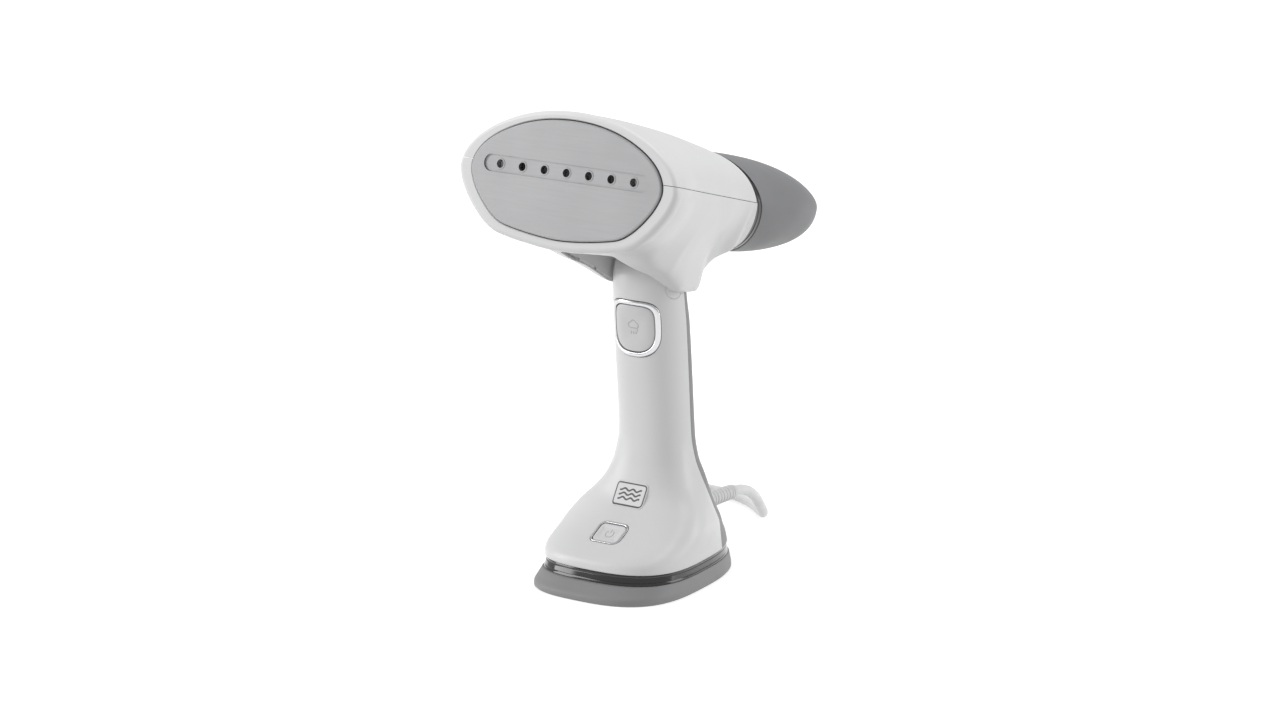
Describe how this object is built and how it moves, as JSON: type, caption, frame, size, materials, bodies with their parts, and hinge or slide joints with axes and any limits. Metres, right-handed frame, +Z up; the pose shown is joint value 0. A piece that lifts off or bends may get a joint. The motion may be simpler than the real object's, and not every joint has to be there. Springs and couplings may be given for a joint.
{
  "type": "handheld garment steamer",
  "caption": "Handheld garment steamer with a wide steam plate on a folding head, a rear water tank, and a slim handle that stands on a flared foot.",
  "frame": {"origin": "on the standing surface under the handle, in the middle of the object's width", "axes": "+Z up along the handle, +Y to the rear towards the water tank, +X to the object's left-to-right width"},
  "size_m": [0.2064, 0.2549, 0.28],
  "materials": {
    "white_plastic": "satin gloss",
    "grey_plastic": "matte",
    "tank_plastic": "translucent grey",
    "smoked_plastic": "dark see-through",
    "brushed_steel": "brushed",
    "chrome": "polished",
    "aluminium": "cast",
    "steel": "plain",
    "brass": "plain",
    "black_plastic": "matte",
    "rubber": "matte",
    "silicone": "matte",
    "board": "matte",
    "cord_white": "satin"
  },
  "bodies": {
    "handle_assembly": {"handle_front_shell": "white_plastic", "handle_rear_shell": "grey_plastic", "badge": "brushed_steel", "base_band": "smoked_plastic", "base_foot": "grey_plastic", "foot_screw_1": "steel", "foot_screw_2": "steel", "foot_screw_3": "steel", "handle_screw_1": "steel", "handle_screw_2": "steel", "steam_button_bezel": "chrome", "steam_button_spring": "steel", "microswitch": "black_plastic", "power_button_ring": "chrome", "power_button_spring": "steel", "power_switch": "black_plastic", "circuit_board": "board", "relay": "black_plastic", "cord_clamp": "black_plastic", "supply_lead": "cord_white", "hinge_bush_left": "white_plastic", "hinge_bush_right": "white_plastic", "strain_relief": "white_plastic", "cord_run": "cord_white", "cord_tail": "cord_white", "cord_hank": "cord_white", "cord_tie": "black_plastic", "plug_body": "cord_white", "plug_blade_left": "brass", "plug_blade_right": "brass", "plug_earth_pin": "brass"},
    "head_assembly": {"head_upper_shell": "white_plastic", "head_lower_shell": "white_plastic", "steam_plate": "brushed_steel", "plate_gasket": "rubber", "steam_chamber": "aluminium", "chamber_cover": "aluminium", "heating_element": "steel", "thermostat": "black_plastic", "thermal_fuse": "steel", "pump_body": "black_plastic", "pump_saddle": "black_plastic", "pump_outlet": "brass", "pump_inlet": "brass", "pump_spring": "steel", "outlet_hose": "silicone", "inlet_hose": "silicone", "tank_socket": "black_plastic", "port_seal": "rubber", "hinge_stud_left": "steel", "hinge_stud_right": "steel"},
    "tank_assembly": {"water_tank": "tank_plastic", "tank_ring": "smoked_plastic", "outlet_valve": "brass", "pickup_tube": "silicone"},
    "lid_assembly": {"fill_lid": "tank_plastic", "fill_seal": "silicone"},
    "steam_button_cap": {"steam_button": "white_plastic"},
    "power_button_cap": {"power_button": "white_plastic"},
    "plunger_assembly": {"pump_plunger": "steel"}
  },
  "joints": [
    {"name": "head_fold", "type": "hinge", "parent": "handle_assembly", "child": "head_assembly", "pos_m": [0, 0.005, 0.172], "axis": [1, 0, 0], "range_deg": [0, 90]},
    {"name": "steam_button_press", "type": "slide", "parent": "handle_assembly", "child": "steam_button_cap", "axis": [0, 1, 0], "range_m": [0, 0.002], "stiffness_N_per_m": 900, "deforming": ["steam_button_spring"]},
    {"name": "power_button_press", "type": "slide", "parent": "handle_assembly", "child": "power_button_cap", "axis": [0, 0.5878, -0.809], "range_m": [0, 0.0012], "stiffness_N_per_m": 900, "deforming": ["power_button_spring"]},
    {"name": "tank_slide", "type": "slide", "parent": "head_assembly", "child": "tank_assembly", "axis": [0, 0.9763, -0.2164], "range_m": [0, 0.07]},
    {"name": "fill_lid_open", "type": "hinge", "parent": "tank_assembly", "child": "lid_assembly", "pos_m": [0, 0.11799, 0.1742], "axis": [1, 0, 0], "range_deg": [0, 110]},
    {"name": "pump_stroke", "type": "slide", "parent": "head_assembly", "child": "plunger_assembly", "axis": [0, 0.9763, -0.2164], "range_m": [-0.002, 0.003], "stiffness_N_per_m": 1500, "deforming": ["pump_spring"]}
  ]
}
